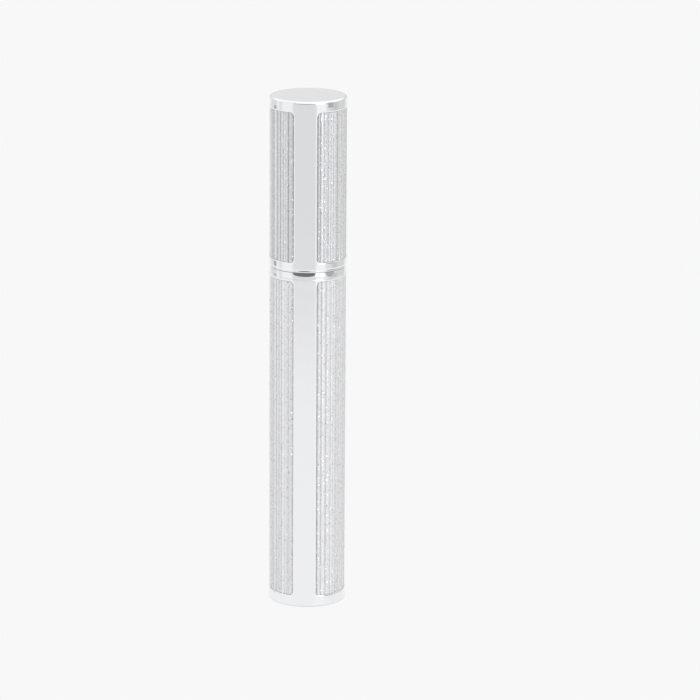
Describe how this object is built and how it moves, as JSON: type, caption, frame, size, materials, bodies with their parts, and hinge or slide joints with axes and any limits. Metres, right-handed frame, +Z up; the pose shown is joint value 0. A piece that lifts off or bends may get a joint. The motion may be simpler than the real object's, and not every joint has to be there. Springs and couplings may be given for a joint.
{
  "type": "mascara tube",
  "caption": "Slim round mascara with a chrome frame, one smooth front strip, ribbed glitter panels, and a screw cap that carries the wand and brush.",
  "frame": {"origin": "centre of the base, on the surface the tube stands on", "axes": "+Z up along the tube's axis, from the base to the cap; -Y is the smooth front strip; +X is the side of the brush with the long bristles"},
  "size_m": [0.018, 0.018, 0.12],
  "materials": {
    "chrome": "bright metallised plastic",
    "glitter": "silver glitter under clear lacquer, ribbed",
    "base_plastic": "fine matt silver",
    "vial_plastic": "milky moulded plastic",
    "wiper_plastic": "soft moulded plastic",
    "mascara": "wet paste",
    "seal_foam": "closed-cell foam",
    "black_gloss": "glossy black",
    "stem_plastic": "semi-gloss black",
    "brush_elastomer": "moulded black elastomer"
  },
  "bodies": {
    "bottle": {"bottle_frame_shell": "chrome", "bottle_ribbed_panel": "glitter", "bottle_base_disc": "base_plastic", "bottle_collar_ring": "chrome", "inner_vial": "vial_plastic", "wiper": "wiper_plastic"},
    "formula": {"mascara_formula": "mascara"},
    "seal": {"seal_washer": "seal_foam"},
    "applicator": {"cap_frame_shell": "chrome", "cap_ribbed_panel": "glitter", "inner_cap": "black_gloss", "wand_stem": "stem_plastic", "brush": "brush_elastomer"}
  },
  "joints": [
    {"name": "cap_unscrew", "type": "hinge", "parent": "bottle", "child": "formula", "pos_m": [0, 0, 0], "axis": [0, 0, 1], "range_deg": [0, 540]},
    {"name": "wand_pull_out", "type": "slide", "parent": "formula", "child": "seal", "axis": [0, 0, 1], "range_m": [0, 0.1], "deforming": ["wiper"]},
    {"name": "cap_thread_rise", "type": "slide", "parent": "seal", "child": "applicator", "axis": [0, 0, 1], "range_m": [0, 0.00375]}
  ],
  "couplings": [
    {"joint": "cap_thread_rise", "follows": "cap_unscrew", "m_per_rad": 0.00039789}
  ]
}
